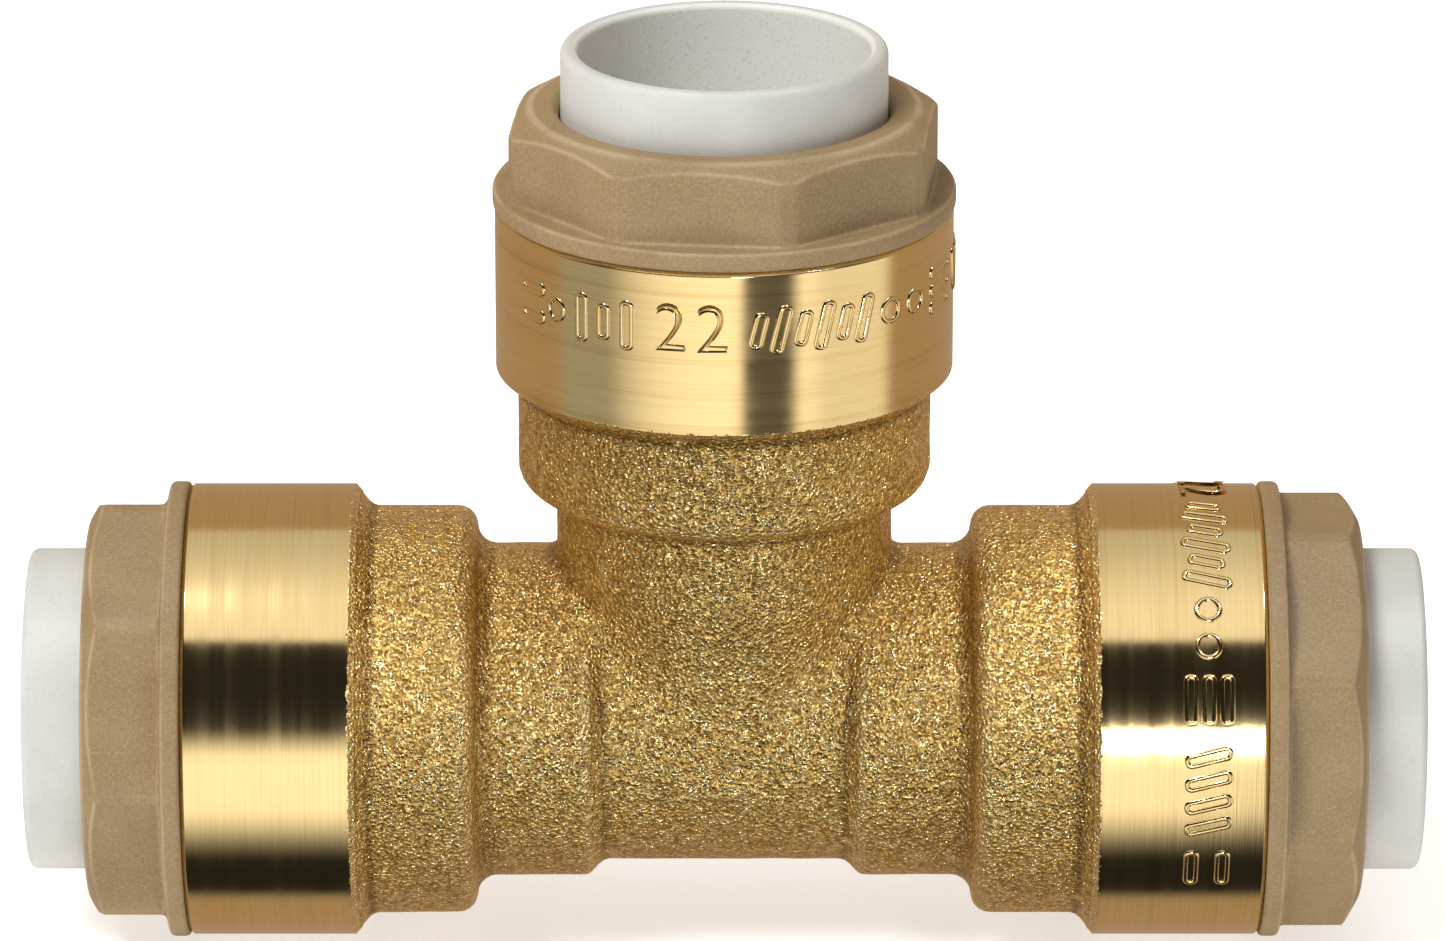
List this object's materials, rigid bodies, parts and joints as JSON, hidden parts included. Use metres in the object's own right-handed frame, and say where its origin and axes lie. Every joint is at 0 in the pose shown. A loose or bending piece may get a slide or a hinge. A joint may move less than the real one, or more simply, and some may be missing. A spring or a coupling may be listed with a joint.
{
  "type": "push to connect fitting",
  "caption": "Equal tee push-fit fitting for 22 mm tube: forged brass body with turned collars, octagonal plastic nuts and white release sleeves that press in to let the tube go.",
  "frame": {"origin": "the point where the three tube axes cross, at the centre of the tee", "axes": "+X along the run towards the right socket, +Z out of the branch socket, +Y away from the side that carries the size marks"},
  "size_m": [0.1088, 0.0358, 0.0723],
  "materials": {
    "brass": "blasted forging, with brushed turned collars",
    "nut_plastic": "tan glass-filled moulding, fine matt grain",
    "sleeve_plastic": "smooth satin white moulding",
    "spring_steel": "stamped stainless spring strip",
    "seal_rubber": "smooth black, greased",
    "support_plastic": "plain light grey moulding"
  },
  "bodies": {
    "fitting": {"body": "brass", "inner_o_ring_left": "seal_rubber", "outer_o_ring_left": "seal_rubber", "spacer_washer_left": "support_plastic", "grab_ring_seat_left": "support_plastic", "grab_ring_left": "spring_steel", "nut_left": "nut_plastic", "inner_o_ring_right": "seal_rubber", "outer_o_ring_right": "seal_rubber", "spacer_washer_right": "support_plastic", "grab_ring_seat_right": "support_plastic", "grab_ring_right": "spring_steel", "nut_right": "nut_plastic", "inner_o_ring_branch": "seal_rubber", "outer_o_ring_branch": "seal_rubber", "spacer_washer_branch": "support_plastic", "grab_ring_seat_branch": "support_plastic", "grab_ring_branch": "spring_steel", "nut_branch": "nut_plastic"},
    "sleeve_left": {"release_sleeve_left": "sleeve_plastic"},
    "sleeve_right": {"release_sleeve_right": "sleeve_plastic"},
    "sleeve_branch": {"release_sleeve_branch": "sleeve_plastic"}
  },
  "joints": [
    {"name": "release_left", "type": "slide", "parent": "fitting", "child": "sleeve_left", "axis": [1, 0, 0], "range_m": [0, 0.0015], "stiffness_N_per_m": 300, "springref_m": -0.002, "deforming": ["grab_ring_left"]},
    {"name": "release_right", "type": "slide", "parent": "fitting", "child": "sleeve_right", "axis": [-1, 0, 0], "range_m": [0, 0.0015], "stiffness_N_per_m": 300, "springref_m": -0.002, "deforming": ["grab_ring_right"]},
    {"name": "release_branch", "type": "slide", "parent": "fitting", "child": "sleeve_branch", "axis": [0, 0, -1], "range_m": [0, 0.0015], "stiffness_N_per_m": 300, "springref_m": -0.002, "deforming": ["grab_ring_branch"]}
  ]
}
